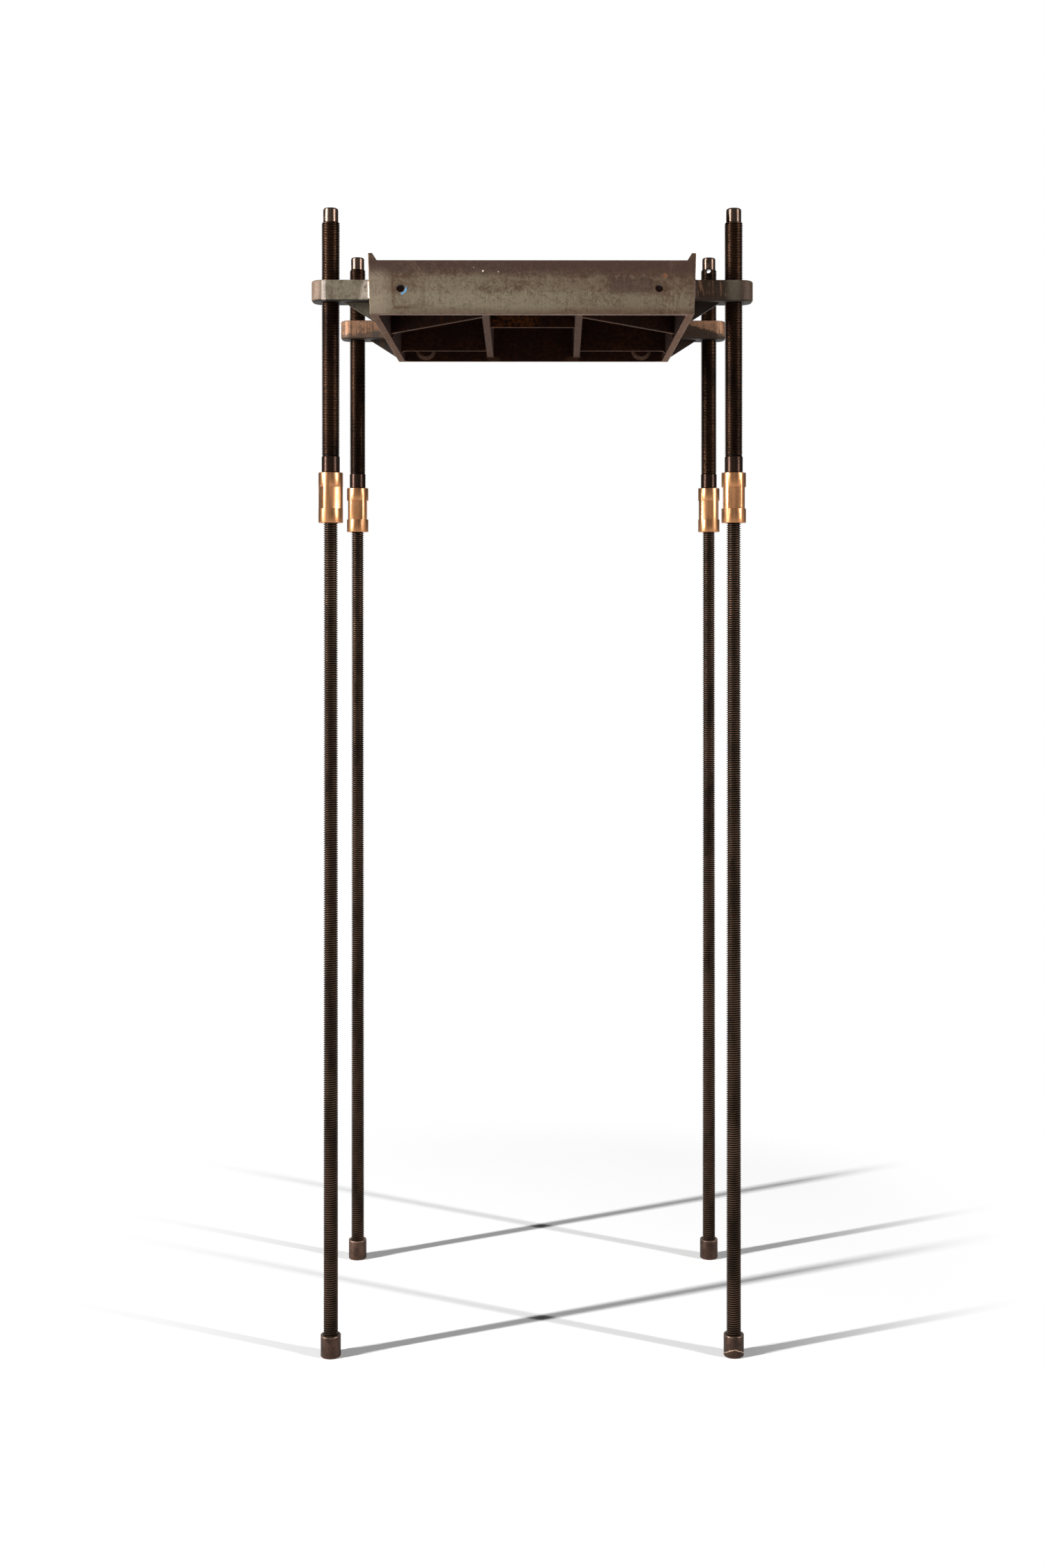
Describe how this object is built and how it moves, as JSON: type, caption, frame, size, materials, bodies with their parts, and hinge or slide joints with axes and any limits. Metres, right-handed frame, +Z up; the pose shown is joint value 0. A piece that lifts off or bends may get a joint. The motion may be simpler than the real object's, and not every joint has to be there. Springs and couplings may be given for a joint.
{
  "type": "planer stand",
  "caption": "Iron planer bed with ribbed underside and side lugs, carried as a small stand on long threaded legs with couplings and round feet.",
  "frame": {"origin": "middle of the four feet on the floor", "axes": "+Z up along the legs, +X to the right and -Y to the front of the bed"},
  "size_m": [0.3854, 0.333, 1.0044],
  "materials": {
    "bed_iron": "worn grey-green paint over brown cast iron",
    "screw_steel": "oiled dark screw thread with bright turned tip",
    "coupling_bronze": "turned bronze with milled flats",
    "rod_steel": "dark all-thread",
    "foot_steel": "brown turned steel"
  },
  "bodies": {
    "bed": {"planer_bed": "bed_iron"},
    "front_left_foot": {"foot_fl": "foot_steel"},
    "front_left_leg": {"elevating_screw_fl": "screw_steel", "coupling_fl": "coupling_bronze", "leg_rod_fl": "rod_steel"},
    "front_right_foot": {"foot_fr": "foot_steel"},
    "front_right_leg": {"elevating_screw_fr": "screw_steel", "coupling_fr": "coupling_bronze", "leg_rod_fr": "rod_steel"},
    "back_left_foot": {"foot_bl": "foot_steel"},
    "back_left_leg": {"elevating_screw_bl": "screw_steel", "coupling_bl": "coupling_bronze", "leg_rod_bl": "rod_steel"},
    "back_right_foot": {"foot_br": "foot_steel"},
    "back_right_leg": {"elevating_screw_br": "screw_steel", "coupling_br": "coupling_bronze", "leg_rod_br": "rod_steel"}
  },
  "joints": [
    {"name": "front_left_travel", "type": "slide", "parent": "bed", "child": "front_left_foot", "axis": [0, 0, 1], "range_m": [-0.05, 0.13]},
    {"name": "front_left_turn", "type": "hinge", "parent": "front_left_foot", "child": "front_left_leg", "pos_m": [-0.1765, -0.1225, 0], "axis": [0, 0, 1], "range_deg": [-12756, 33166]},
    {"name": "front_right_travel", "type": "slide", "parent": "bed", "child": "front_right_foot", "axis": [0, 0, 1], "range_m": [-0.05, 0.13]},
    {"name": "front_right_turn", "type": "hinge", "parent": "front_right_foot", "child": "front_right_leg", "pos_m": [0.1765, -0.1225, 0], "axis": [0, 0, 1], "range_deg": [-12756, 33166]},
    {"name": "back_left_travel", "type": "slide", "parent": "bed", "child": "back_left_foot", "axis": [0, 0, 1], "range_m": [-0.05, 0.13]},
    {"name": "back_left_turn", "type": "hinge", "parent": "back_left_foot", "child": "back_left_leg", "pos_m": [-0.1765, 0.1225, 0], "axis": [0, 0, 1], "range_deg": [-12756, 33166]},
    {"name": "back_right_travel", "type": "slide", "parent": "bed", "child": "back_right_foot", "axis": [0, 0, 1], "range_m": [-0.05, 0.13]},
    {"name": "back_right_turn", "type": "hinge", "parent": "back_right_foot", "child": "back_right_leg", "pos_m": [0.1765, 0.1225, 0], "axis": [0, 0, 1], "range_deg": [-12756, 33166]}
  ],
  "couplings": [
    {"joint": "front_left_turn", "follows": "front_left_travel", "rad_per_m": 4452.7},
    {"joint": "front_right_turn", "follows": "front_right_travel", "rad_per_m": 4452.7},
    {"joint": "back_left_turn", "follows": "back_left_travel", "rad_per_m": 4452.7},
    {"joint": "back_right_turn", "follows": "back_right_travel", "rad_per_m": 4452.7}
  ]
}
